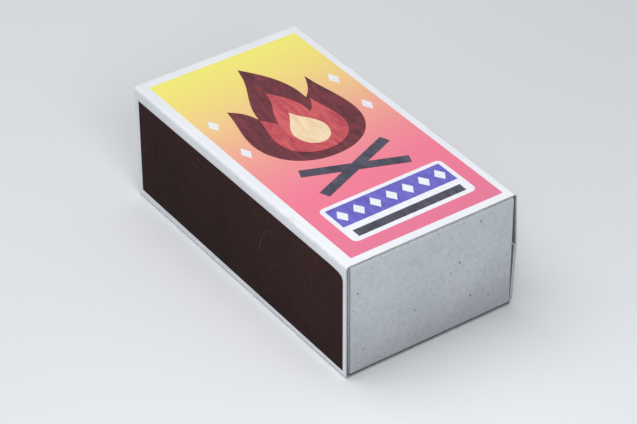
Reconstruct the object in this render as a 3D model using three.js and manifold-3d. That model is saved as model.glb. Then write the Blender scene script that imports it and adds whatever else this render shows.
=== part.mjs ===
// A box of household matches: a coated sleeve with a striker on each long side, a grey board tray
// that slides in it, and the matches lying across the tray.
// Millimetres. +X is the long axis and the way the tray slides, +Y is the width, +Z is up.
// The origin is the middle of the sleeve's underside.
import * as THREE from 'three';
import { mergeVertices } from 'three/addons/utils/BufferGeometryUtils.js';
import Module from 'manifold-3d';

const wasm = await Module();
wasm.setup();

// Matches
const matchLength = 43;
const splintSize = 1.9;
const headDiameter = 2.8;
const headLength = 3.8;
const headNeck = 2.72; // head diameter where it ends on the splint
const headTip = 1.2; // head diameter at its blunt tip
const matchPlay = 1.6; // from each end of a match to the tray side
const matchScatter = 0.45; // matches lie this far out of line at most
const matchRoll = 6; // degrees that a loose match is turned about its length, at most
const looseGap = 0.35; // between the heads of the loose top matches
const packedPress = 0.1; // heads in the packed layers press into each other this much
const layerGap = 0.3; // between one layer of heads and the next
const endPlay = 0.5; // from the first and last match to the tray end, at least
const headSpace = 5.5; // free height over the matches, at least

// Tray, folded from one blank of grey board
const trayBoard = 0.5;
const trayFold = 0.9; // outer radius of the folds along the floor
const trayCorner = 0.6; // outer radius of the upright folds
const trayProud = 0.3; // how far the tray stands out at the +X end
const panelInset = 0.2; // end panels are this much narrower than the tray on each side
const sideDrop = 0.3; // side walls end this far below the rolled rim
const flapLift = 0.4; // the folded-in flaps end this far above the floor
const tabLength = 12;
const tabLift = 0.7; // glued corner tabs stop this far from the floor and from the rim
const tabChamfer = 2;
const glueDepth = 0.02; // glued faces run into each other this much

// Sleeve, wrapped from one blank of coated board
const sleeveLength = 90;
const sleeveHeight = 32.7;
const sleeveBoard = 0.4;
const sleeveFold = 0.9; // outer radius of the folds along the length
const lapTop = 17.7; // the glued flap inside the +Y side rises to this height
const lapCrease = 0.6; // the +Y side is pushed out this much at the flap's edge
const lapReveal = 1.6; // the outer +Y panel's cut edge is this far above the underside

// Running gaps between tray and sleeve
const gapNear = 0.5; // on the -Y side
const gapFar = 0.2; // on the +Y side, to the glued flap
const gapFloor = 0.5;
const gapTop = 0.2;

// Strikers, a coat on each long side
const strikerCoat = 0.12;
const strikerBottom = 1.85; // from the underside
const strikerTop = 3.5; // from the top
const strikerFarMargin = 1.8; // from the -X edge of the sleeve
const strikerNearMargin = 2.1; // from the +X edge
const strikerCornerWide = 4.4; // the worn corner at the +X end
const strikerCornerHigh = 1.5;

// Print on the top
const inkCoat = 0.06;
const printTurn = 0.4; // degrees that the print is out of square
const fieldEndMargin = 2.2;
const fieldSideMargin = 2.4;
const flameBase = 35; // from the +X edge of the field to the foot of the flame
const flameWide = 30;
const flameHigh = 44;
const emberScale = 0.64;
const emberLift = 3; // the inner flame starts this far above the outer flame's foot
const coreWide = 9;
const coreHigh = 15;
const coreLift = 6;
const logLong = 27;
const logThick = 2.8;
const logTilt = 22; // degrees
const logDrop = 6.5; // from the flame's foot down to where the logs cross
const sparkWide = 2.6;
const sparkHigh = 5;
const sparkGap = 2.9; // from the flame's widest point to the middle of a spark
const sparkLow = 13; // from the flame's foot up to the lower sparks
const sparkPitch = 14;
const plaqueMargin = 4.3; // from the +X edge of the field
const plaqueWide = 35.5;
const plaqueHigh = 14.8;
const plaqueRadius = 1.4;
const ribbonWide = 33;
const ribbonHigh = 7.4;
const ribbonInset = 1.3; // from the plaque's upper edge
const lozengeCount = 7;
const lozengeWide = 3;
const lozengeHigh = 4.6;
const barWide = 31;
const barHigh = 2.6;
const barInset = 1.4; // from the plaque's lower edge

// Facets
const foldSteps = 3;
const curveSteps = 5;

// Worked out from the matches outwards
const trayInnerWidth = matchLength + 2 * matchPlay;
const trayWidth = trayInnerWidth + 2 * trayBoard;
const sleeveWidth = trayWidth + gapNear + gapFar + 3 * sleeveBoard; // two sides and the flap
const trayNear = -sleeveWidth / 2 + sleeveBoard + gapNear; // -Y face of the tray
const trayFar = trayNear + trayWidth;
const trayBottom = sleeveBoard + gapFloor;
const trayTop = sleeveHeight - sleeveBoard - gapTop;
const trayPlus = sleeveLength / 2 + trayProud; // +X face of the tray
const trayMinus = trayPlus - sleeveLength;
const trayFloor = trayBottom + trayBoard;
const endWall = 3 * trayBoard; // outer panel, corner tab and folded-in flap
const trayInnerLength = sleeveLength - 2 * endWall;
const trayMiddle = (trayPlus + trayMinus) / 2;
const matchMiddle = (trayNear + trayFar) / 2;

// Materials
const paint = (color, roughness, metalness = 0) => new THREE.MeshStandardMaterial({
  color, roughness, metalness,
});
const coated = paint('#e4eaf0', 0.45);
const greyBoard = paint('#a9aeb2', 0.9);
const strikerBrown = paint('#32221f', 0.75);
const printOrange = paint('#f0a088', 0.5);
const printMaroon = paint('#5c2431', 0.5);
const printRose = paint('#c9505c', 0.5);
const printCream = paint('#efcfa8', 0.5);
const printSlate = paint('#3a4150', 0.5);
const printWhite = paint('#eef0f6', 0.5);
const printViolet = paint('#5a58b0', 0.5);
const aspen = paint('#e2c79a', 0.8);
const headBrown = paint('#6e2a22', 0.85);

// Closed geometry to solid and back
function solid(geometry) {
  const bare = geometry.clone();
  bare.deleteAttribute('normal');
  bare.deleteAttribute('uv');
  const merged = mergeVertices(bare, 1e-5);
  return new wasm.Manifold(new wasm.Mesh({
    numProp: 3,
    vertProperties: new Float32Array(merged.attributes.position.array),
    triVerts: new Uint32Array(merged.index.array),
  }));
}

function geometryOf(body) {
  const mesh = body.getMesh();
  const geometry = new THREE.BufferGeometry();
  geometry.setAttribute('position', new THREE.BufferAttribute(new Float32Array(mesh.vertProperties), 3));
  geometry.setIndex(new THREE.BufferAttribute(new Uint32Array(mesh.triVerts), 1));
  geometry.computeVertexNormals();
  return geometry;
}

const X = new THREE.Vector3(1, 0, 0);
const Y = new THREE.Vector3(0, 1, 0);
const Z = new THREE.Vector3(0, 0, 1);

// A (y, z) section run along X from start to end
function alongX(shape, start, end) {
  const geometry = new THREE.ExtrudeGeometry(shape, {
    depth: end - start, bevelEnabled: false, curveSegments: foldSteps,
  });
  geometry.applyMatrix4(new THREE.Matrix4().makeBasis(Y, Z, X));
  return geometry.translate(start, 0, 0);
}

// An (x, z) section run along Y from start to end
function alongY(shape, start, end) {
  const geometry = new THREE.ExtrudeGeometry(shape, {
    depth: end - start, bevelEnabled: false, curveSegments: foldSteps,
  });
  geometry.applyMatrix4(new THREE.Matrix4().makeBasis(X, Z, Y.clone().negate()));
  return geometry.translate(0, end, 0);
}

// An (x, y) outline run up from bottom to top
function alongZ(shape, bottom, top) {
  const geometry = new THREE.ExtrudeGeometry(shape, {
    depth: top - bottom, bevelEnabled: false, curveSegments: curveSteps,
  });
  return geometry.translate(0, 0, bottom);
}

function arcPoints(centreX, centreY, radius, from, to, steps = foldSteps) {
  const points = [];
  for (let i = 0; i <= steps; i += 1) {
    const angle = THREE.MathUtils.degToRad(from + (to - from) * i / steps);
    points.push(new THREE.Vector2(centreX + radius * Math.cos(angle), centreY + radius * Math.sin(angle)));
  }
  return points;
}

function roundedRectangle(left, bottom, right, top, radius) {
  return new THREE.Shape([
    ...arcPoints(right - radius, bottom + radius, radius, -90, 0),
    ...arcPoints(right - radius, top - radius, radius, 0, 90),
    ...arcPoints(left + radius, top - radius, radius, 90, 180),
    ...arcPoints(left + radius, bottom + radius, radius, 180, 270),
  ]);
}

function rectangle(left, bottom, right, top) {
  return new THREE.Shape([
    new THREE.Vector2(left, bottom), new THREE.Vector2(right, bottom),
    new THREE.Vector2(right, top), new THREE.Vector2(left, top),
  ]);
}

// Where the folds end and the upright sides start
const sideFoot = sleeveFold;
const sideHead = sleeveHeight - sleeveFold;

// How far the +Y side is pushed out at a height
function creaseAt(z) {
  const rise = z <= lapTop ? (z - sideFoot) / (lapTop - sideFoot) : (sideHead - z) / (sideHead - lapTop);
  return lapCrease * THREE.MathUtils.clamp(rise, 0, 1);
}

// Points up the +Y side between two heights, at a distance from the middle plane
function farSide(distance, from, to) {
  const levels = lapTop > from && lapTop < to ? [from, lapTop, to] : [from, to];
  return levels.map((z) => new THREE.Vector2(distance + creaseAt(z), z));
}

const mirrored = (points) => points.map((p) => new THREE.Vector2(-p.x, p.y)).reverse();

// One closed outline from several runs of points, without doubled points
function joined(...runs) {
  const points = runs.flat();
  const last = points.length - 1;
  return points.filter((p, i) => p.distanceTo(points[i === 0 ? last : i - 1]) > 1e-6);
}

// The folded board's outer or inner face, seen along the box
function sleeveFace(depth) {
  const half = sleeveWidth / 2;
  const radius = sleeveFold - depth;
  const step = depth === 0 ? lapReveal : lapTop; // where the outer panel or the flap has its cut edge
  return joined(
    arcPoints(half - sleeveBoard - sleeveFold, sideFoot, radius, -90, 0),
    farSide(half - sleeveBoard - depth, sideFoot, step),
    farSide(half - depth, step, sideHead),
    arcPoints(half - sleeveFold, sideHead, radius, 0, 90),
    mirrored(arcPoints(half - sleeveFold, sideHead, radius, 0, 90)),
    mirrored(arcPoints(half - sleeveFold, sideFoot, radius, -90, 0)),
  );
}

function buildSleeve() {
  const section = new THREE.Shape(sleeveFace(0));
  section.holes.push(new THREE.Path(sleeveFace(sleeveBoard)));
  return alongX(section, -sleeveLength / 2, sleeveLength / 2);
}

// Strikers are coats on the long sides, with the same edges on both
const strikerStart = -sleeveLength / 2 + strikerFarMargin;
const strikerEnd = sleeveLength / 2 - strikerNearMargin;
const strikerHigh = sleeveHeight - strikerTop;

function buildNearStriker() {
  const outline = new THREE.Shape();
  outline.moveTo(strikerStart, strikerBottom);
  outline.lineTo(strikerEnd, strikerBottom);
  outline.lineTo(strikerEnd, strikerHigh - strikerCornerHigh);
  outline.quadraticCurveTo(strikerEnd, strikerHigh, strikerEnd - strikerCornerWide, strikerHigh);
  outline.lineTo(strikerStart, strikerHigh);
  return alongY(outline, -sleeveWidth / 2 - strikerCoat, -sleeveWidth / 2);
}

function buildFarStriker() {
  const back = farSide(sleeveWidth / 2, strikerBottom, strikerHigh).reverse();
  const front = farSide(sleeveWidth / 2 + strikerCoat, strikerBottom, strikerHigh);
  return alongX(new THREE.Shape([...front, ...back]), strikerStart, strikerEnd);
}

// Floor, end panels, rolled rims and folded-in flaps are one strip, seen from the side
function trayStrip() {
  const rim = endWall / 2;
  const rimCentre = trayTop - rim;
  const halfLength = sleeveLength / 2;
  const flapFoot = trayFloor + flapLift;
  const foldCentre = halfLength - trayFold;
  const plusEnd = [
    ...arcPoints(foldCentre, trayBottom + trayFold, trayFold, -90, 0),
    ...arcPoints(halfLength - rim, rimCentre, rim, 0, 180, 2 * foldSteps),
    new THREE.Vector2(halfLength - endWall, flapFoot),
    new THREE.Vector2(halfLength - endWall + trayBoard, flapFoot),
    ...arcPoints(halfLength - rim, rimCentre, rim - trayBoard, 180, 0, 2 * foldSteps),
    ...arcPoints(foldCentre, trayBottom + trayFold, trayFold - trayBoard, 0, -90),
  ];
  return new THREE.Shape([...plusEnd, ...mirrored(plusEnd)]);
}

function buildTray() {
  const halfLength = sleeveLength / 2;
  const wallTop = trayTop - sideDrop;
  const walls = new THREE.Shape([
    ...arcPoints(trayFar - trayFold, trayBottom + trayFold, trayFold, -90, 0),
    new THREE.Vector2(trayFar, wallTop),
    new THREE.Vector2(trayFar - trayBoard, wallTop),
    ...arcPoints(trayFar - trayFold, trayBottom + trayFold, trayFold - trayBoard, 0, -90),
    ...arcPoints(trayNear + trayFold, trayBottom + trayFold, trayFold - trayBoard, -90, -180),
    new THREE.Vector2(trayNear + trayBoard, wallTop),
    new THREE.Vector2(trayNear, wallTop),
    ...arcPoints(trayNear + trayFold, trayBottom + trayFold, trayFold, 180, 270),
  ]);
  const wallEnd = halfLength - trayBoard;
  const plan = roundedRectangle(-wallEnd, trayNear, wallEnd, trayFar, trayCorner);
  const rounded = solid(alongX(walls, -wallEnd, wallEnd)).intersect(
    solid(alongZ(plan, trayBottom - 1, trayTop + 1)),
  );
  const strip = solid(alongY(trayStrip(), trayNear + panelInset, trayFar - panelInset));
  let tray = rounded.add(strip);
  const tabFoot = trayFloor + tabLift;
  const tabHead = trayTop - trayBoard - tabLift;
  for (const side of [-1, 1]) {
    const root = (side > 0 ? trayFar : trayNear) - side * (trayBoard - glueDepth);
    const tip = root - side * tabLength;
    const tab = new THREE.Shape([
      new THREE.Vector2(root, tabFoot), new THREE.Vector2(tip + side * tabChamfer, tabFoot),
      new THREE.Vector2(tip, tabFoot + tabChamfer), new THREE.Vector2(tip, tabHead - tabChamfer),
      new THREE.Vector2(tip + side * tabChamfer, tabHead), new THREE.Vector2(root, tabHead),
    ]);
    for (const end of [-1, 1]) {
      const middle = end * (halfLength - 1.5 * trayBoard);
      const reach = trayBoard / 2 + glueDepth;
      tray = tray.add(solid(alongX(tab, middle - reach, middle + reach)));
    }
  }
  return geometryOf(tray).translate(trayMiddle, 0, 0);
}

// A match lies along Y with its head at +Y, and its middle at the origin
function matchSolid(head) {
  const splint = new THREE.BoxGeometry(splintSize, matchLength - headLength / 2, splintSize);
  splint.translate(0, -headLength / 4, 0);
  return solid(splint).add(solid(head));
}

// The dipped head of a match that can be seen
function roundHead(sides = 8) {
  const start = matchLength / 2 - headLength;
  const rings = [[headNeck, 0], [headDiameter, 0.45], [headTip, 1]];
  return new THREE.LatheGeometry([
    new THREE.Vector2(0, start),
    ...rings.map(([diameter, share]) => new THREE.Vector2(diameter / 2, start + share * headLength)),
    new THREE.Vector2(0, matchLength / 2),
  ], sides);
}

// The head of a match deep in the box: square, with its outer half tapered
function plainHead() {
  const head = new THREE.BoxGeometry(headDiameter, headLength, headDiameter, 1, 2, 1);
  const position = head.attributes.position;
  const taper = headTip / headDiameter;
  for (let i = 0; i < position.count; i += 1) {
    if (position.getY(i) > headLength / 4) {
      position.setX(i, position.getX(i) * taper);
      position.setZ(i, position.getZ(i) * taper);
    }
  }
  return head.translate(0, (matchLength - headLength) / 2, 0);
}

// Alternating, never repeating spread between -1 and 1
const spread = (i, seed) => Math.sin(i * 2.399 + seed * 1.7);

const layerPitch = headDiameter + layerGap;
const layerCount = Math.floor((trayTop - trayFloor - headSpace) / layerPitch);
const layerHeight = (layer) => trayFloor + layerGap + headDiameter / 2 + layer * layerPitch;

function rowPlaces(pitch) {
  const room = trayInnerLength - 2 * endPlay - headDiameter;
  const count = Math.floor(room / pitch) + 1;
  return Array.from({ length: count }, (_, i) => trayMiddle + (i - (count - 1) / 2) * pitch);
}

function buildPackedLayer(layer) {
  const stick = matchSolid(plainHead());
  const shift = matchScatter * spread(layer, 5);
  const sticks = rowPlaces(headDiameter - packedPress).map((x) => (
    stick.translate([x, matchMiddle + shift, layerHeight(layer)])
  ));
  let whole = sticks[0];
  for (const next of sticks.slice(1)) {
    whole = whole.add(next);
  }
  return geometryOf(whole);
}

// Motifs are drawn with u to the right and v up, as the label is read from the +X end.
// Their curves are given in shares of their width and height.
function curvedShape(wide, high, curves) {
  const shape = new THREE.Shape();
  shape.moveTo(0, 0);
  for (const [a, b, c, d, e, f] of curves) {
    shape.bezierCurveTo(a * wide, b * high, c * wide, d * high, e * wide, f * high);
  }
  return shape;
}

// Three tongues on a round foot
const flameShape = (wide, high) => curvedShape(wide, high, [
  [0.3, 0, 0.5, 0.14, 0.5, 0.32],
  [0.5, 0.48, 0.43, 0.59, 0.42, 0.73],
  [0.37, 0.64, 0.32, 0.59, 0.25, 0.55],
  [0.28, 0.73, 0.17, 0.86, 0.02, 1],
  [-0.03, 0.8, -0.22, 0.7, -0.25, 0.52],
  [-0.27, 0.59, -0.32, 0.64, -0.4, 0.68],
  [-0.42, 0.55, -0.5, 0.45, -0.5, 0.32],
  [-0.5, 0.14, -0.3, 0, 0, 0],
]);

const dropShape = (wide, high) => curvedShape(wide, high, [
  [0.4, 0, 0.55, 0.3, 0.5, 0.45],
  [0.4, 0.7, 0.1, 0.8, 0, 1],
  [-0.1, 0.8, -0.4, 0.7, -0.5, 0.45],
  [-0.55, 0.3, -0.4, 0, 0, 0],
]);

function lozengePoints(u, v, wide, high) {
  return [
    new THREE.Vector2(u + wide / 2, v), new THREE.Vector2(u, v + high / 2),
    new THREE.Vector2(u - wide / 2, v), new THREE.Vector2(u, v - high / 2),
  ];
}

const fieldLength = sleeveLength - 2 * fieldEndMargin;
const fieldWidth = sleeveWidth - 2 * fieldSideMargin;

// The object
const part = new THREE.Group();
const print = new THREE.Group();
print.rotation.z = THREE.MathUtils.degToRad(printTurn);
print.position.z = sleeveHeight;
part.add(print);

function addMesh(group, name, geometry, material) {
  const mesh = new THREE.Mesh(geometry, material);
  mesh.name = name;
  group.add(mesh);
  return mesh;
}

// A motif on the label: foot is its distance from the field's +X edge, level counts the coats under it
function addMotif(name, shape, material, level, foot, aside = 0) {
  const geometry = alongZ(shape, level * inkCoat, (level + 1) * inkCoat);
  geometry.rotateZ(Math.PI / 2);
  geometry.translate(fieldLength / 2 - foot, aside, 0);
  return addMesh(print, name, geometry, material);
}

addMesh(part, 'sleeve', buildSleeve(), coated);
addMesh(part, 'striker_left', buildNearStriker(), strikerBrown);
addMesh(part, 'striker_right', buildFarStriker(), strikerBrown);

const field = rectangle(-fieldLength / 2, -fieldWidth / 2, fieldLength / 2, fieldWidth / 2);
addMesh(print, 'print_field', alongZ(field, 0, inkCoat), printOrange);
addMotif('print_flame', flameShape(flameWide, flameHigh), printMaroon, 1, flameBase);
const ember = flameShape(flameWide * emberScale, flameHigh * emberScale);
addMotif('print_ember', ember, printRose, 2, flameBase + emberLift);
addMotif('print_core', dropShape(coreWide, coreHigh), printCream, 3, flameBase + coreLift);

// Two crossed logs under the flame
function buildLogs() {
  const log = rectangle(-logLong / 2, -logThick / 2, logLong / 2, logThick / 2);
  const tilt = THREE.MathUtils.degToRad(logTilt);
  const one = solid(alongZ(log, inkCoat, 2 * inkCoat).rotateZ(tilt));
  const other = solid(alongZ(log, inkCoat, 2 * inkCoat).rotateZ(-tilt));
  return geometryOf(one.add(other)).rotateZ(Math.PI / 2);
}
const logPlace = fieldLength / 2 - flameBase + logDrop;
addMesh(print, 'print_logs', buildLogs().translate(logPlace, 0, 0), printSlate);

// Two sparks on each side of the flame
const sparkAside = flameWide / 2 + sparkGap;
const sparks = [[-1, sparkLow], [-1, sparkLow + sparkPitch], [1, sparkLow], [1, sparkLow + sparkPitch]];
sparks.forEach(([side, up], i) => {
  const spark = new THREE.Shape(lozengePoints(0, 0, sparkWide, sparkHigh));
  addMotif(`print_spark_${i + 1}`, spark, printCream, 1, flameBase + up, side * sparkAside);
});

// The plaque below, with a ribbon of lozenges over a plain bar
const plaque = roundedRectangle(-plaqueWide / 2, 0, plaqueWide / 2, plaqueHigh, plaqueRadius);
addMotif('print_plaque', plaque, printWhite, 1, plaqueMargin);
const ribbon = rectangle(-ribbonWide / 2, -ribbonHigh / 2, ribbonWide / 2, ribbonHigh / 2);
for (let i = 0; i < lozengeCount; i += 1) {
  const u = (i - (lozengeCount - 1) / 2) * (ribbonWide / lozengeCount);
  ribbon.holes.push(new THREE.Path(lozengePoints(u, 0, lozengeWide, lozengeHigh).reverse()));
}
const ribbonFoot = plaqueMargin + plaqueHigh - ribbonInset - ribbonHigh / 2;
addMotif('print_ribbon', ribbon, printViolet, 2, ribbonFoot);
const bar = rectangle(-barWide / 2, 0, barWide / 2, barHigh);
addMotif('print_bar', bar, printSlate, 2, plaqueMargin + barInset);

addMesh(part, 'tray', buildTray(), greyBoard);

for (let layer = 0; layer < layerCount - 1; layer += 1) {
  addMesh(part, `match_layer_${layer + 1}`, buildPackedLayer(layer), headBrown);
}

const looseMatch = geometryOf(matchSolid(roundHead()));
rowPlaces(headDiameter + looseGap).forEach((x, i) => {
  const name = `match_${String(i + 1).padStart(2, '0')}`;
  const match = addMesh(part, name, looseMatch, aspen);
  match.position.set(x, matchMiddle + matchScatter * spread(i, 3), layerHeight(layerCount - 1));
  match.rotation.y = THREE.MathUtils.degToRad(matchRoll * spread(i, 8));
});

export default part;
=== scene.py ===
# A box of household matches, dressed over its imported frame. Metres, +X along the box, +Z up.
import math

import bmesh
import bpy
from mathutils import Matrix, Vector, noise


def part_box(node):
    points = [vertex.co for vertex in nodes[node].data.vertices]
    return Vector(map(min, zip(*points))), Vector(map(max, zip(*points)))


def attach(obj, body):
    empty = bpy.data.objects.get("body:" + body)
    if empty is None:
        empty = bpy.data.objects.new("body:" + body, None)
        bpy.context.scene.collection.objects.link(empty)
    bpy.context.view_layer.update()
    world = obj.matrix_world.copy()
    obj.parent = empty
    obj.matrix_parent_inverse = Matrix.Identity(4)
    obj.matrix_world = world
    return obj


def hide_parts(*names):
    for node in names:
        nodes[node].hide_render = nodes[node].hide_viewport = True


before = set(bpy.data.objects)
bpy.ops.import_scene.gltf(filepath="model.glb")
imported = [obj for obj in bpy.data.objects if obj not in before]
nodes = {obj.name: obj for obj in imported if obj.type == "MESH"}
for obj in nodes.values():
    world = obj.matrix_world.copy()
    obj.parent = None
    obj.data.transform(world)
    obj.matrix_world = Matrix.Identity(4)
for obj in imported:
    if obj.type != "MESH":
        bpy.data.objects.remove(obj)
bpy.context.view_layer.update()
MM = 0.001
Y_AXIS = 1
Z_AXIS = 2

SLEEVE_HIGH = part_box("sleeve")[1]
TRAY_LOW, TRAY_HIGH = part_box("tray")
LENGTH = 2 * SLEEVE_HIGH.x
HEIGHT = SLEEVE_HIGH.z

# Softened cut edges
BOARD_SOFTENING = 0.06 * MM
COAT_SOFTENING = 0.03 * MM
SPLINT_SOFTENING = 0.06 * MM

# The wear along the sleeve's folds, and the painted shade on the tray's side walls close to their
# ends
WORN_BAND = 3 * MM
SLOT_SHADE_BAND = 2 * MM
WALL_SURFACE = 0.04 * MM

# The arc that a match scratched into the near coat: its centre, its radius and width, and the
# length whose shares are the heights between which it shows
SCRATCH_X = 22 * MM
SCRATCH_Z = 15 * MM
SCRATCH_RADIUS = 12.2 * MM
SCRATCH_WIDTH = 0.4 * MM
SCRATCH_UNIT = 40 * MM

# How far the edges of the near coat and the printed ground lie from those of their solids, in
# mm toward + along their axis: the edges at -X, at +X, the low and the high one, each at its
# low end and at its high end
COAT_EDGES = ((0.25, 0.25), (0.9, 0.9), (0.75, 0.12), (0.33, 0.7))
GROUND_EDGES = ((0.3, 0.7), (-0.2, 0.12), (0.7, 0.25), (-0.05, -0.48))

# Matches: the splint ends inside the head, and packed heads are told from splints with a slack
SPLINT = 1.9 * MM
HEAD = 2.8 * MM
HEAD_LENGTH = 3.8 * MM
TIP_TO_SPLINT = 0.4 * HEAD_LENGTH
HEAD_SLACK = 0.05 * MM

# A loose match is rolled by some degrees times a sine, whose angle steps from match to match
MATCH_ROLL = 6.0
ROLL_STEP = 2.399
ROLL_START = 13.6

# A head's outline: narrow at the neck, widest from one share of its length to another, then a dome
HEAD_SIDES = 24
HEAD_RINGS = 14
NECK = 0.70
WIDEST_FROM = 0.45
WIDEST_TO = 0.55
DOME_POWER = 2.4
SQUARENESS = 0.05
LUMPINESS = 0.05
LUMPS_AROUND = 3
LUMPS_ALONG = 5

# Spots: the fixed part of their size, beside a random part of 0 to 1, and the share of the
# radius over which their edge is soft
SPOT_BASE = 0.6
SPOT_EDGE = 0.3


def colour(red, green, blue):
    """A colour read as the screen shows it, 0 to 255, in the linear values that shaders take."""
    def linear(value):
        share = value / 255
        return share / 12.92 if share <= 0.04045 else ((share + 0.055) / 1.055) ** 2.4
    return (linear(red), linear(green), linear(blue), 1.0)


class Paint:
    """A material and short ways to add its nodes. The scale of a pattern is in cells per metre."""

    def __init__(self, name, roughness, specular):
        self.material = bpy.data.materials.new(name)
        self.material.use_nodes = True
        self.tree = self.material.node_tree
        self.shader = self.tree.nodes["Principled BSDF"]
        self.shader.inputs["Roughness"].default_value = roughness
        self.shader.inputs["Specular IOR Level"].default_value = specular
        self.place = self.tree.nodes.new("ShaderNodeTexCoord").outputs["Object"]

    def link(self, source, target):
        self.tree.links.new(source, target)

    def put(self, socket, value):
        if isinstance(value, bpy.types.NodeSocket):
            self.link(value, socket)
        else:
            socket.default_value = value

    def stretched(self, scale):
        node = self.tree.nodes.new("ShaderNodeMapping")
        node.inputs["Scale"].default_value = scale
        self.link(self.place, node.inputs["Vector"])
        return node.outputs["Vector"]

    def warped(self, scale, amount, stretch=(1, 1, 1)):
        """The object's coordinates, shaken by a noise so that round things turn ragged."""
        node = self.tree.nodes.new("ShaderNodeTexNoise")
        node.inputs["Scale"].default_value = scale
        node.inputs["Detail"].default_value = 2.0
        self.link(self.place, node.inputs["Vector"])
        shake = self.tree.nodes.new("ShaderNodeVectorMath")
        shake.operation = "MULTIPLY_ADD"
        self.link(node.outputs["Color"], shake.inputs[0])
        shake.inputs[1].default_value = (amount, amount, amount)
        self.link(self.stretched(stretch), shake.inputs[2])
        return shake.outputs["Vector"]

    def noise(self, scale, detail=3.0, roughness=0.5, vector=None, distortion=0.0):
        node = self.tree.nodes.new("ShaderNodeTexNoise")
        node.inputs["Scale"].default_value = scale
        node.inputs["Detail"].default_value = detail
        node.inputs["Roughness"].default_value = roughness
        node.inputs["Distortion"].default_value = distortion
        self.link(vector or self.place, node.inputs["Vector"])
        return node.outputs["Fac"]

    def cells(self, scale, vector, feature="F1"):
        node = self.tree.nodes.new("ShaderNodeTexVoronoi")
        node.feature = feature
        node.inputs["Scale"].default_value = scale
        self.link(vector, node.inputs["Vector"])
        return node.outputs["Distance"]

    def spots(self, scale, radius, share, vector=None):
        """Round spots of varied size, in a share of the cells of a random packing."""
        node = self.tree.nodes.new("ShaderNodeTexVoronoi")
        node.inputs["Scale"].default_value = scale
        self.link(vector or self.place, node.inputs["Vector"])
        split = self.tree.nodes.new("ShaderNodeSeparateColor")
        self.link(node.outputs["Color"], split.inputs["Color"])
        size = self.maths("ADD", split.outputs["Green"], SPOT_BASE)
        reach = self.times(size, radius / (1 + SPOT_BASE))
        inside = self.maths("SUBTRACT", reach, node.outputs["Distance"])
        edge = self.maths("DIVIDE", inside, radius * SPOT_EDGE)
        chosen = self.maths("LESS_THAN", split.outputs["Red"], share)
        return self.times(self.ramp(edge, [(0.0, 0.0), (1.0, 1.0)]), chosen)

    def ramp(self, factor, stops, smooth=False):
        node = self.tree.nodes.new("ShaderNodeValToRGB")
        if smooth:
            node.color_ramp.interpolation = "EASE"
        elements = node.color_ramp.elements
        while len(elements) < len(stops):
            elements.new(0.5)
        for element, (position, value) in zip(elements, stops):
            element.position = position
            element.color = value if isinstance(value, tuple) else (value, value, value, 1)
        self.put(node.inputs["Fac"], factor)
        return node.outputs["Color"]

    def mix(self, factor, first, second, blend="MIX"):
        node = self.tree.nodes.new("ShaderNodeMix")
        node.data_type = "RGBA"
        node.blend_type = blend
        self.put(node.inputs["Factor"], factor)
        self.put(node.inputs[6], first)
        self.put(node.inputs[7], second)
        return node.outputs[2]

    def shade(self, tone, amount):
        """The tone made darker where the amount is under 1, and lighter where it is over 1."""
        return self.mix(1.0, tone, amount, "MULTIPLY")

    def maths(self, kind, first, second=0.0):
        node = self.tree.nodes.new("ShaderNodeMath")
        node.operation = kind
        self.put(node.inputs[0], first)
        self.put(node.inputs[1], second)
        return node.outputs[0]

    def times(self, first, second):
        return self.maths("MULTIPLY", first, second)

    def axis(self, letter):
        node = self.tree.nodes.new("ShaderNodeSeparateXYZ")
        self.link(self.place, node.inputs[0])
        return node.outputs[letter]

    def base(self, value):
        self.put(self.shader.inputs["Base Color"], value)

    def rough(self, value):
        self.put(self.shader.inputs["Roughness"], value)

    def bump(self, height, depth, strength=1.0):
        node = self.tree.nodes.new("ShaderNodeBump")
        node.inputs["Strength"].default_value = strength
        node.inputs["Distance"].default_value = depth
        self.link(height, node.inputs["Height"])
        previous = self.shader.inputs["Normal"].links
        if previous:
            self.link(previous[0].from_socket, node.inputs["Normal"])
        self.link(node.outputs["Normal"], self.shader.inputs["Normal"])


# Boards


def coated_card():
    """White coating, a little grey and scuffed along the folds."""
    paint = Paint("coated card", 0.42, 0.4)
    cloud = paint.noise(70, 3)
    fine = paint.noise(1500, 4, 0.6)
    tone = paint.ramp(cloud, [(0.3, colour(228, 232, 238)), (0.7, colour(236, 239, 244))])
    side = paint.maths("ABSOLUTE", paint.axis("Y"))
    inward = paint.maths("SUBTRACT", SLEEVE_HIGH.y, side)
    fold = paint.maths("DIVIDE", inward, WORN_BAND)
    fold = paint.ramp(fold, [(0.12, 0.0), (0.28, 1.0), (0.5, 1.0), (0.7, 0.0)])
    worn = paint.noise(420, 4, 0.7, paint.stretched((0.35, 1, 1)))
    worn = paint.ramp(worn, [(0.52, 0.0), (0.68, 1.0)])
    scuff = paint.times(paint.times(fold, worn), 0.5)
    tone = paint.mix(scuff, tone, colour(200, 203, 208))
    dust = paint.times(paint.spots(420, 0.1, 0.6), 0.35)
    paint.base(paint.mix(dust, tone, colour(170, 172, 176)))
    paint.rough(paint.ramp(fine, [(0.3, 0.36), (0.7, 0.52)]))
    paint.bump(fine, 0.012 * MM, 0.6)
    paint.bump(cloud, 0.12 * MM, 0.5)
    paint.bump(worn, 0.02 * MM, 0.4)
    return paint.material


def bare_card(name, dark, light):
    """Uncoated card with short fibres and a few darker specks."""
    paint = Paint(name, 0.9, 0.2)
    fibre = paint.noise(1100, 5, 0.65, paint.stretched((0.4, 1, 1)))
    tone = paint.ramp(fibre, [(0.3, dark), (0.7, light)])
    speck = paint.times(paint.spots(800, 0.14, 0.7), 0.3)
    paint.base(paint.mix(speck, tone, colour(120, 118, 114)))
    paint.bump(fibre, 0.05 * MM)
    return paint.material


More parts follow.
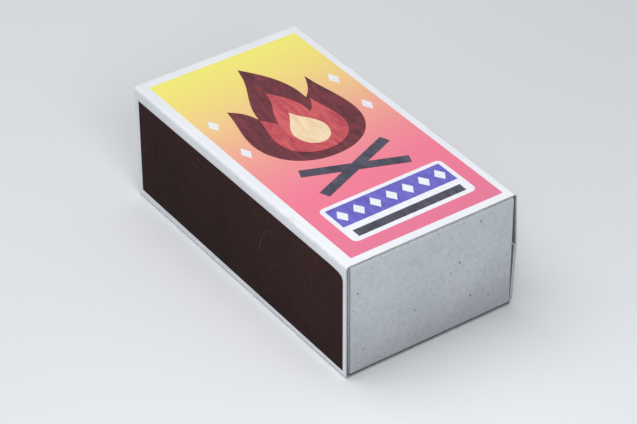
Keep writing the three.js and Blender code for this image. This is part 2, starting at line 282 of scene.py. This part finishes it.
# Three sizes of dark speck in the grey board: the scale, the radius as a share of a cell, the
# share of cells that have one, and how dark they are
SPECKS = ((1300, 0.28, 0.85, 0.21), (760, 0.22, 0.8, 0.3), (330, 0.16, 0.4, 0.65))


def painted_slot_shade(paint):
    """Painted shade: how dark the tray's side walls are in a band close to their ends, and 0
    elsewhere.
    """
    half = (TRAY_HIGH.y - TRAY_LOW.y) / 2
    middle = (TRAY_LOW.y + TRAY_HIGH.y) / 2
    aside = paint.maths("ABSOLUTE", paint.maths("SUBTRACT", paint.axis("Y"), middle))
    wall = paint.maths("GREATER_THAN", aside, half - WALL_SURFACE)
    inward = paint.maths("SUBTRACT", TRAY_HIGH.x, paint.maths("ABSOLUTE", paint.axis("X")))
    band = paint.maths("DIVIDE", inward, SLOT_SHADE_BAND)
    band = paint.ramp(band, [(0.08, 0.0), (0.2, 0.85), (0.5, 0.85), (1.0, 0.0)])
    return paint.times(wall, band)


def recycled_board():
    """Grey board of pulped paper: mottled, with fibres, many fine specks and a few large ones."""
    paint = Paint("recycled grey board", 0.88, 0.22)
    cloud = paint.noise(55, 3, 0.5)
    mottle = paint.noise(700, 3, 0.6)
    grain = paint.noise(2600, 3, 0.7)
    tone = paint.ramp(cloud, [(0.3, colour(184, 190, 196)), (0.7, colour(193, 197, 203))])
    tone = paint.shade(tone, paint.ramp(mottle, [(0.3, 0.92), (0.7, 1.04)]))
    tone = paint.shade(tone, paint.ramp(grain, [(0.3, 0.91), (0.5, 1.0), (0.75, 1.05)]))
    # Painted shade: the board darker towards the bottom, a little unevenly
    height = paint.maths("DIVIDE", paint.axis("Z"), HEIGHT)
    height = paint.maths("ADD", height, paint.times(cloud, 0.3))
    tone = paint.shade(tone, paint.ramp(height, [(0.1, 0.76), (0.85, 1.05)], smooth=True))
    threads = paint.cells(420, paint.stretched((1, 0.3, 1.5)), "DISTANCE_TO_EDGE")
    threads = paint.ramp(threads, [(0.0, 1.0), (0.025, 0.0)])
    threads = paint.times(threads, paint.ramp(paint.noise(500, 1), [(0.5, 0.0), (0.6, 1.0)]))
    tone = paint.mix(paint.times(threads, 0.22), tone, colour(150, 152, 154))
    pale = paint.spots(620, 0.16, 0.8)
    tone = paint.mix(paint.times(pale, 0.3), tone, colour(216, 219, 222))
    ragged = paint.warped(1400, 0.4 * MM, (1, 1, 0.85))
    for scale, radius, share, depth in SPECKS:
        speck = paint.times(paint.spots(scale, radius, share, ragged), depth)
        tone = paint.mix(speck, tone, colour(76, 78, 82))
    # Painted shade of the slot between sleeve and tray: the tray's side walls dark near their ends
    paint.base(paint.mix(painted_slot_shade(paint), tone, colour(46, 46, 48)))
    paint.bump(grain, 0.03 * MM, 0.8)
    paint.bump(mottle, 0.05 * MM, 0.6)
    return paint.material


# Striker


def scratched_arc(paint):
    """How strongly the arc shows, on the left of its centre and on the side at -Y alone."""
    across = paint.maths("SUBTRACT", paint.axis("X"), SCRATCH_X)
    upward = paint.maths("SUBTRACT", paint.axis("Z"), SCRATCH_Z)
    squares = paint.maths("ADD", paint.times(across, across), paint.times(upward, upward))
    off_arc = paint.maths("SUBTRACT", paint.maths("SQRT", squares), SCRATCH_RADIUS)
    off_arc = paint.maths("DIVIDE", paint.maths("ABSOLUTE", off_arc), SCRATCH_WIDTH)
    line = paint.ramp(off_arc, [(0.1, 1.0), (0.5, 0.0)])
    height = paint.times(paint.axis("Z"), 1 / SCRATCH_UNIT)
    reach = paint.ramp(height, [(0.38, 0.0), (0.42, 1.0), (0.6, 0.5), (0.66, 0.0)])
    left = paint.maths("LESS_THAN", across, 0.0)
    front = paint.maths("LESS_THAN", paint.axis("Y"), 0.0)
    line = paint.times(paint.times(line, reach), paint.times(left, front))
    return paint.times(line, paint.ramp(paint.noise(900, 2), [(0.35, 0.05), (0.6, 0.3)]))


def striker_coat():
    """Brown friction coat, with a few specks and the arc that a match left."""
    paint = Paint("striker coat", 0.86, 0.16)
    cloud = paint.noise(45, 4, 0.6, paint.stretched((1, 1, 0.35)))
    mottle = paint.noise(520, 3, 0.6)
    grit = paint.noise(2600, 3, 0.7)
    tone = paint.ramp(cloud, [(0.3, colour(39, 20, 20)), (0.7, colour(51, 28, 27))])
    # Painted light and shade: the coat lighter towards the top and darker towards the bottom
    height = paint.maths("DIVIDE", paint.axis("Z"), HEIGHT)
    tone = paint.shade(tone, paint.ramp(height, [(0.1, 0.8), (0.9, 1.18)]))
    tone = paint.shade(tone, paint.ramp(mottle, [(0.3, 0.8), (0.7, 1.18)]))
    pits = paint.ramp(paint.cells(1500, paint.warped(1500, 0.5 * MM)), [(0.1, 0.72), (0.5, 1.08)])
    tone = paint.shade(tone, pits)
    tone = paint.mix(paint.ramp(grit, [(0.45, 0.0), (0.75, 0.32)]), tone, colour(74, 50, 45))
    tone = paint.mix(scratched_arc(paint), tone, colour(140, 122, 114))
    specks = paint.times(paint.spots(420, 0.08, 0.5), 0.5)
    paint.base(paint.mix(specks, tone, colour(150, 138, 132)))
    paint.bump(grit, 0.07 * MM, 0.8)
    paint.bump(pits, 0.05 * MM, 0.8)
    paint.bump(mottle, 0.04 * MM, 0.5)
    return paint.material


# Print


def gradient_ink():
    """Yellow at -X through orange to pink at +X."""
    paint = Paint("gradient ink", 0.4, 0.45)
    along = paint.maths("ADD", paint.maths("DIVIDE", paint.axis("X"), LENGTH), 0.5)
    wander = paint.times(paint.maths("SUBTRACT", paint.noise(25, 2), 0.5), 0.05)
    stops = [
        (0.04, colour(245, 237, 118)), (0.17, colour(244, 222, 126)),
        (0.30, colour(242, 200, 140)), (0.43, colour(240, 170, 147)),
        (0.57, colour(239, 142, 150)), (0.70, colour(240, 123, 150)),
        (0.83, colour(234, 120, 148)), (0.96, colour(226, 118, 149)),
    ]
    tone = paint.ramp(paint.maths("ADD", along, wander), stops)
    paint.base(paint.shade(tone, paint.ramp(paint.noise(2200, 2), [(0.35, 0.97), (0.65, 1.02)])))
    paint.bump(paint.noise(1500, 4, 0.6), 0.01 * MM, 0.5)
    return paint.material


def flat_ink(name, dark, light):
    """One colour of ink, drawn out along the box and laid on a little unevenly."""
    paint = Paint(name, 0.42, 0.45)
    brush = paint.noise(420, 5, 0.65, paint.stretched((0.3, 1, 1)), 1.2)
    tone = paint.ramp(brush, [(0.36, dark), (0.64, light)])
    paint.base(paint.shade(tone, paint.ramp(paint.noise(2400, 2), [(0.35, 0.95), (0.65, 1.03)])))
    paint.bump(paint.noise(1500, 4, 0.6), 0.01 * MM, 0.5)
    return paint.material


# Wood and heads


def sawn_wood():
    """Pale wood with streaks along the match."""
    paint = Paint("sawn aspen", 0.75, 0.3)
    streak = paint.noise(900, 5, 0.6, paint.stretched((1, 0.06, 1)), 0.4)
    dark, middle, light = colour(205, 172, 124), colour(228, 202, 156), colour(238, 218, 178)
    paint.base(paint.ramp(streak, [(0.3, dark), (0.55, middle), (0.75, light)]))
    paint.bump(streak, 0.08 * MM, 0.8)
    return paint.material


def dipped_head():
    """Dry, rough red-brown compound."""
    paint = Paint("dipped head", 0.7, 0.35)
    grain = paint.noise(1800, 4, 0.65)
    paint.base(paint.ramp(grain, [(0.3, colour(84, 34, 26)), (0.7, colour(122, 52, 40))]))
    paint.bump(grain, 0.12 * MM, 0.8)
    return paint.material


COATED = coated_card()
# The sleeve's bare inside: grey board, made darker than it is as painted shade in the slot around
# the tray
SHADED_INSIDE = bare_card("sleeve inside with painted shade", colour(128, 130, 130), colour(152, 154, 153))
CUT_EDGE = bare_card("cut edge", colour(160, 162, 165), colour(188, 190, 192))
GREY = recycled_board()
STRIKER = striker_coat()
WOOD = sawn_wood()
DIPPED = dipped_head()


# Sleeve, coats and tray

WELD = 0.001 * MM
FLAT = math.radians(0.3)
SMOOTH_FOLD = math.radians(32)
CUT_CORNER = math.radians(40)
FLAT_FACE_WEIGHT = 90


def placed(name, data):
    """A new object in the scene."""
    piece = bpy.data.objects.new(name, data)
    bpy.context.scene.collection.objects.link(piece)
    return piece


def stand_in(node, mesh, body):
    """A new piece with this mesh, in the place of a node."""
    piece = placed(node + "_fine", mesh)
    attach(piece, body)
    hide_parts(node)
    return piece


def fresh_mesh(node):
    """A welded copy of a node's mesh, with flat faces whole again."""
    sheet = bmesh.new()
    sheet.from_mesh(nodes[node].data)
    bmesh.ops.remove_doubles(sheet, verts=sheet.verts, dist=WELD)
    bmesh.ops.dissolve_limit(sheet, angle_limit=FLAT, verts=sheet.verts, edges=sheet.edges)
    mesh = bpy.data.meshes.new(node + "_fine")
    sheet.to_mesh(mesh)
    sheet.free()
    for attribute in list(mesh.attributes):
        if attribute.name == "custom_normal":
            mesh.attributes.remove(attribute)
    return mesh


def dressed(node, body, materials, choose=None, bevel=BOARD_SOFTENING):
    """A finer piece over a node: soft cut edges, smooth folds, a material for each kind of face."""
    mesh = fresh_mesh(node)
    mesh.materials.clear()
    for material in materials:
        mesh.materials.append(material)
    for face in mesh.polygons:
        face.material_index = choose(face) if choose else 0
    mesh.shade_smooth()
    mesh.set_sharp_from_angle(angle=SMOOTH_FOLD)
    piece = stand_in(node, mesh, body)
    if bevel:
        soften = piece.modifiers.new("soften", "BEVEL")
        soften.width = bevel
        soften.segments = 2
        soften.limit_method = "ANGLE"
        soften.angle_limit = CUT_CORNER
    level = piece.modifiers.new("flat faces", "WEIGHTED_NORMAL")
    level.keep_sharp = True
    level.weight = FLAT_FACE_WEIGHT
    return piece


def sleeve_face(face):
    """0 coated outside, 1 bare inside, 2 cut edge."""
    centre, normal = face.center, face.normal
    if abs(normal.x) > 0.5:
        return 2
    outward = Vector((0, centre.y / SLEEVE_HIGH.y, centre.z / (HEIGHT / 2) - 1))
    return 0 if outward.dot(normal) > 0 else 1


def between(pair, share):
    """The value at a share of the way from the first of a pair to the second."""
    return pair[0] + (pair[1] - pair[0]) * share


def askew(piece, node, across, edges):
    """Moves the four edges of a flat piece, each by its own amount at either of its ends.

    The edges are those at -X, at +X, and at the low and the high end of the axis across.
    """
    low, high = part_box(node)
    first, last, foot, head = edges
    for vertex in piece.data.vertices:
        along = (vertex.co.x - low.x) / (high.x - low.x)
        upward = (vertex.co[across] - low[across]) / (high[across] - low[across])
        vertex.co.x += MM * between((between(first, upward), between(last, upward)), along)
        vertex.co[across] += MM * between((between(foot, along), between(head, along)), upward)


dressed("sleeve", "sleeve", [COATED, SHADED_INSIDE, CUT_EDGE], sleeve_face)
near_coat = dressed("striker_left", "sleeve", [STRIKER], bevel=COAT_SOFTENING)
dressed("striker_right", "sleeve", [STRIKER], bevel=COAT_SOFTENING)
dressed("tray", "tray", [GREY])

# The coat on the side seen was rolled on a little askew
askew(near_coat, "striker_left", Z_AXIS, COAT_EDGES)


# Printed ground and motifs

INKS = {
    "print_field": gradient_ink(),
    "print_flame": flat_ink("maroon ink", colour(78, 34, 46), colour(128, 52, 62)),
    "print_ember": flat_ink("rose ink", colour(178, 62, 76), colour(216, 98, 104)),
    "print_core": flat_ink("cream ink", colour(236, 204, 160), colour(248, 226, 190)),
    "print_logs": flat_ink("slate ink", colour(58, 56, 72), colour(86, 84, 100)),
    "print_plaque": flat_ink("white ink", colour(232, 234, 242), colour(240, 242, 248)),
    "print_ribbon": flat_ink("violet ink", colour(92, 88, 182), colour(116, 110, 204)),
}
INKS["print_bar"] = INKS["print_logs"]
for node in nodes:
    if node.startswith("print_spark"):
        INKS[node] = INKS["print_plaque"]
for node, ink in INKS.items():
    nodes[node].data.materials.clear()
    nodes[node].data.materials.append(ink)

# The printed ground sits squarer on the sleeve than its motifs
ground = dressed("print_field", "sleeve", [INKS["print_field"]], bevel=0)
askew(ground, "print_field", Y_AXIS, GROUND_EDGES)

SHARP_POINT = math.radians(38)
CUT_SHARE = 0.25
CUT_ROUNDS = 3


def finer(outline):
    """The outline with each blunt corner cut off, and the sharp ones kept."""
    points = []
    previous = outline[-1:] + outline[:-1]
    following = outline[1:] + outline[:1]
    for before, point, after in zip(previous, outline, following):
        back, ahead = before - point, after - point
        if (-back).angle(ahead) > SHARP_POINT:
            points.append(point)
        else:
            cut = CUT_SHARE * min(back.length, ahead.length)
            points += [point + back.normalized() * cut, point + ahead.normalized() * cut]
    return points


def curved_print(node):
    """A printed motif whose outline runs in finer steps than its node's."""
    coat = fresh_mesh(node)
    face = max(coat.polygons, key=lambda polygon: polygon.normal.z * polygon.area)
    outline = [coat.vertices[i].co.copy() for i in face.vertices]
    for _ in range(CUT_ROUNDS):
        outline = finer(outline)
    low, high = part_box(node)
    drop = Vector((0, 0, low.z - high.z))
    count = len(outline)
    faces = [tuple(range(count)), tuple(range(2 * count - 1, count - 1, -1))]
    faces += [(i, count + i, count + (i + 1) % count, (i + 1) % count) for i in range(count)]
    mesh = bpy.data.meshes.new(node + "_fine")
    mesh.from_pydata(outline + [point + drop for point in outline], [], faces)
    mesh.materials.append(INKS[node])
    stand_in(node, mesh, "sleeve")


for node, slot in (
    ("print_flame", "print_maroon"), ("print_ember", "print_rose"),
    ("print_core", "print_cream"), ("print_plaque", "print_white"),
):
    curved_print(node)


# Packed rows of matches, with the shape of their nodes


def row_face(head_start):
    """0 wood, 1 head."""
    return lambda face: 1 if face.center.y > head_start else 0


packed_rows = sorted(node for node in nodes if node.startswith("match_layer"))
for node in packed_rows:
    head_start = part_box(node)[1].y - HEAD_LENGTH - HEAD_SLACK
    dressed(node, "tray", [WOOD, DIPPED], row_face(head_start), bevel=0)


# Loose matches, each with a fine splint and head

SMOOTH_MATCH = math.radians(50)


def add_splint(sheet, length):
    """A square splint with worn edges, which starts where the match does."""
    bmesh.ops.create_cube(sheet, size=1.0)
    bmesh.ops.scale(sheet, vec=(SPLINT, length - TIP_TO_SPLINT, SPLINT), verts=sheet.verts)
    bmesh.ops.translate(sheet, vec=(0, -TIP_TO_SPLINT / 2, 0), verts=sheet.verts)
    bmesh.ops.bevel(
        sheet, geom=sheet.edges, offset=SPLINT_SOFTENING, segments=2, affect="EDGES", profile=0.5
    )


def head_radius(share, angle, number):
    """A head's radius at a share of its length: a little square at the neck, and lumpy."""
    swell = NECK + (1 - NECK) * math.sin(min(1.0, share / WIDEST_FROM) * math.pi / 2)
    dome = max(0.0, (share - WIDEST_TO) / (1 - WIDEST_TO))
    close = math.sqrt(max(0.0, 1 - dome ** DOME_POWER))
    square = 1 + SQUARENESS * math.cos(4 * angle + math.pi) * (1 - share)
    x, z = LUMPS_AROUND * math.cos(angle), LUMPS_AROUND * math.sin(angle)
    lump = 1 + LUMPINESS * noise.noise(Vector((x, LUMPS_ALONG * share + number, z)))
    return min(HEAD / 2 * swell * close * square * lump, HEAD / 2)


def add_head(sheet, start, number):
    """Rings from the neck to the tip, with a flat face at the neck."""
    rings = []
    for step in range(HEAD_RINGS + 1):
        share = step / HEAD_RINGS
        ring = []
        for side in range(HEAD_SIDES):
            angle = 2 * math.pi * side / HEAD_SIDES
            radius = head_radius(share, angle, number)
            x, z = radius * math.cos(angle), radius * math.sin(angle)
            ring.append(sheet.verts.new((x, start + share * HEAD_LENGTH, z)))
        rings.append(ring)
    for first, second in zip(rings, rings[1:]):
        for side in range(HEAD_SIDES):
            after = (side + 1) % HEAD_SIDES
            face = sheet.faces.new((first[side], second[side], second[after], first[after]))
            face.material_index = 1
    sheet.faces.new(rings[0]).material_index = 1


def loose_match(node, number):
    """A match in the place of its node, rolled a little about its own length."""
    low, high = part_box(node)
    length = high.y - low.y
    sheet = bmesh.new()
    add_splint(sheet, length)
    add_head(sheet, length / 2 - HEAD_LENGTH, number)
    bmesh.ops.remove_doubles(sheet, verts=sheet.verts, dist=WELD)
    bmesh.ops.recalc_face_normals(sheet, faces=sheet.faces)
    mesh = bpy.data.meshes.new(node + "_fine")
    sheet.to_mesh(mesh)
    sheet.free()
    mesh.materials.append(WOOD)
    mesh.materials.append(DIPPED)
    mesh.shade_smooth()
    mesh.set_sharp_from_angle(angle=SMOOTH_MATCH)
    roll = math.radians(MATCH_ROLL * math.sin(number * ROLL_STEP + ROLL_START))
    mesh.transform(Matrix.Translation((low + high) / 2) @ Matrix.Rotation(roll, 4, "Y"))
    stand_in(node, mesh, "tray")


loose = sorted(node for node in nodes if node.startswith("match_") and node not in packed_rows)
for number, node in enumerate(loose):
    loose_match(node, number)


# Floor and light

FLOOR_HALF = 3.0
SKY = (0.94, 0.965, 1.0, 1.0)
SKY_STRENGTH = 0.34

# Each light's place, size, power and tint
LIGHTS = {
    "soft_top": ((-0.25, -0.15, 0.75), (0.7, 0.7), 3.85, (1.0, 0.99, 0.97)),
    "soft_left": ((-0.05, -0.75, 0.35), (0.5, 0.4), 0.12, (1.0, 1.0, 1.0)),
    "soft_end": ((0.21, -0.08, 0.21), (0.12, 0.12), 0.34, (1.0, 1.0, 1.0)),
}


def floor():
    """A wide pale floor, a little cloudy."""
    mesh = bpy.data.meshes.new("floor")
    far = FLOOR_HALF
    corners = [(-far, -far, 0), (far, -far, 0), (far, far, 0), (-far, far, 0)]
    mesh.from_pydata(corners, [], [(0, 1, 2, 3)])
    piece = placed("floor", mesh)
    paint = Paint("floor paint", 0.6, 0.3)
    cloud = paint.noise(3, 2)
    paint.base(paint.ramp(cloud, [(0.3, colour(222, 224, 227)), (0.7, colour(226, 228, 231))]))
    mesh.materials.append(paint.material)


def area_light(name, place, size, power, tint):
    """A soft light that faces the middle of the box."""
    data = bpy.data.lights.new(name, "AREA")
    data.shape = "RECTANGLE"
    data.size, data.size_y = size
    data.energy = power
    data.color = tint
    piece = placed(name, data)
    piece.location = place
    toward = Vector((0, 0, HEIGHT / 2)) - Vector(place)
    piece.rotation_euler = toward.to_track_quat("-Z", "Y").to_euler()


def surroundings():
    world = bpy.data.worlds.new("soft room")
    world.use_nodes = True
    background = world.node_tree.nodes["Background"]
    background.inputs["Color"].default_value = SKY
    background.inputs["Strength"].default_value = SKY_STRENGTH
    bpy.context.scene.world = world
    for name, (place, size, power, tint) in LIGHTS.items():
        area_light(name, place, size, power, tint)


# The photograph's camera: a turn about the box, its distance and aim, and its lens in pixels

AZIMUTH = 55.040
ELEVATION = 36.325
ROLL = -0.262
DISTANCE = 659.03 * MM
ASIDE = (-0.488 * MM, 8.729 * MM)
FOCAL_PIXELS = 2665.28
PHOTO_WIDTH = 637
SENSOR = 36.0
CLIP_START = 0.01


def camera():
    turn, rise, roll = (math.radians(angle) for angle in (AZIMUTH, ELEVATION, ROLL))
    away = math.cos(rise)
    back = Vector((math.sin(turn) * away, -math.cos(turn) * away, math.sin(rise)))
    level = Vector((math.cos(turn), math.sin(turn), 0))
    above = back.cross(level)
    right = level * math.cos(roll) + above * math.sin(roll)
    up = above * math.cos(roll) - level * math.sin(roll)
    data = bpy.data.cameras.new("camera")
    data.sensor_width = SENSOR
    data.lens = FOCAL_PIXELS / PHOTO_WIDTH * SENSOR
    data.clip_start = CLIP_START
    piece = placed("camera", data)
    place = back * DISTANCE + right * ASIDE[0] + up * ASIDE[1]
    piece.matrix_world = Matrix.Translation(place) @ Matrix((right, up, back)).transposed().to_4x4()
    bpy.context.scene.camera = piece


floor()
surroundings()
camera()
bpy.context.scene.view_settings.view_transform = "Standard"
